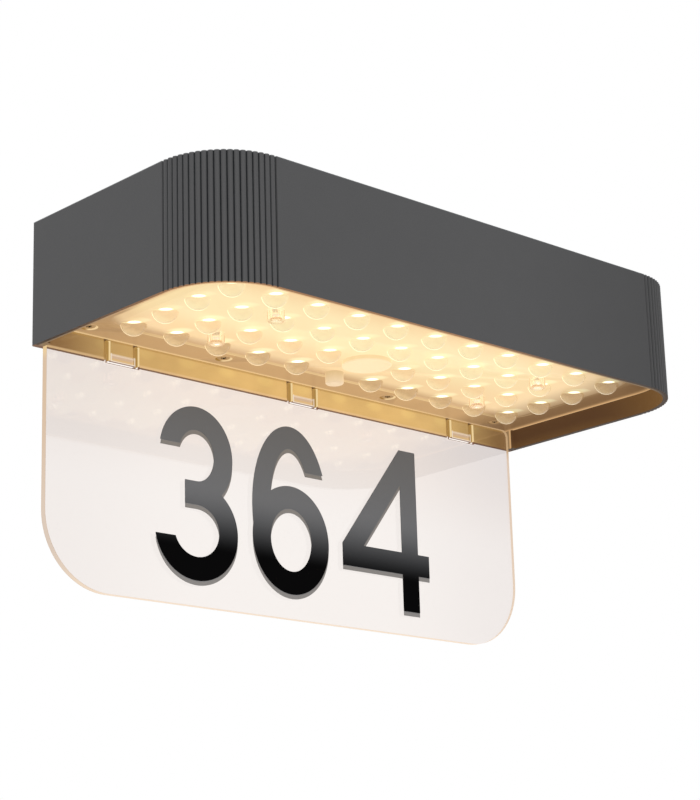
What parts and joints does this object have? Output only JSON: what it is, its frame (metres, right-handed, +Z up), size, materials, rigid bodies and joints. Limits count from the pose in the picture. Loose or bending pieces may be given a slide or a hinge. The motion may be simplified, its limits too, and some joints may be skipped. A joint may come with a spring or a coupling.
{
  "type": "illuminated house number wall light",
  "caption": "D shaped wall downlight with ribbed front corners, a lit cover of small lens domes underneath and a clear number plate that clips in under its back edge.",
  "frame": {"origin": "midway between the seats of the two hanging keyholes, on the wall plane", "axes": "+X along the wall, to the right as seen from the front; +Y into the wall, so the light stands out towards -Y; +Z up"},
  "size_m": [0.25, 0.104, 0.1349],
  "materials": {
    "housing_paint": "fine grained paint on moulded plastic",
    "panel_face": "gloss, dark cells under a clear cast face",
    "foam_tape": "matt foam",
    "lens_clear": "clear moulded, lit from behind",
    "seal_rubber": "matt silicone",
    "screw_steel": "zinc plated",
    "screw_black": "blackened steel",
    "board_white": "white solder mask",
    "light_lens": "warm yellow resin",
    "switch_black": "matt",
    "plunger_white": "matt",
    "button_clear": "milky, translucent",
    "sensor_can": "tinned can",
    "window_milky": "milky, matt",
    "plate_clear": "clear sheet with bright cut edges",
    "numeral_film": "gloss black film",
    "cell_sleeve": "blue shrink sleeve",
    "holder_black": "matt",
    "contact_nickel": "nickel plated",
    "board_green": "green solder mask",
    "parts_black": "matt",
    "socket_white": "matt",
    "grommet_rubber": "matt",
    "lead_jacket": "soft jacket"
  },
  "bodies": {
    "lamp": {"housing": "housing_paint", "solar_panel": "panel_face", "panel_tape": "foam_tape", "lens_cover": "lens_clear", "cover_seal": "seal_rubber", "cover_screws": "screw_black", "light_board": "board_white", "lights": "light_lens", "light_board_screws": "screw_steel", "push_switch": "switch_black", "motion_sensor": "sensor_can", "sensor_window": "window_milky", "battery_cell": "cell_sleeve", "battery_holder": "holder_black", "battery_contacts": "contact_nickel", "holder_screws": "screw_steel", "control_board": "board_green", "control_board_screws": "screw_steel", "control_parts": "parts_black", "lead_sockets": "socket_white", "lead_grommet": "grommet_rubber", "panel_leads": "lead_jacket", "battery_leads": "lead_jacket", "light_leads": "lead_jacket"},
    "plate": {"number_plate": "plate_clear", "numeral_three": "numeral_film", "numeral_six": "numeral_film", "numeral_four": "numeral_film"},
    "button": {"button_cap": "button_clear", "switch_plunger": "plunger_white"}
  },
  "joints": [
    {"name": "plate_slide", "type": "slide", "parent": "lamp", "child": "plate", "axis": [0, 0, -1], "range_m": [0, 0.012]},
    {"name": "button_press", "type": "slide", "parent": "lamp", "child": "button", "axis": [0, 0, 1], "range_m": [0, 0.0012], "stiffness_N_per_m": 600, "springref_m": -0.0008}
  ]
}
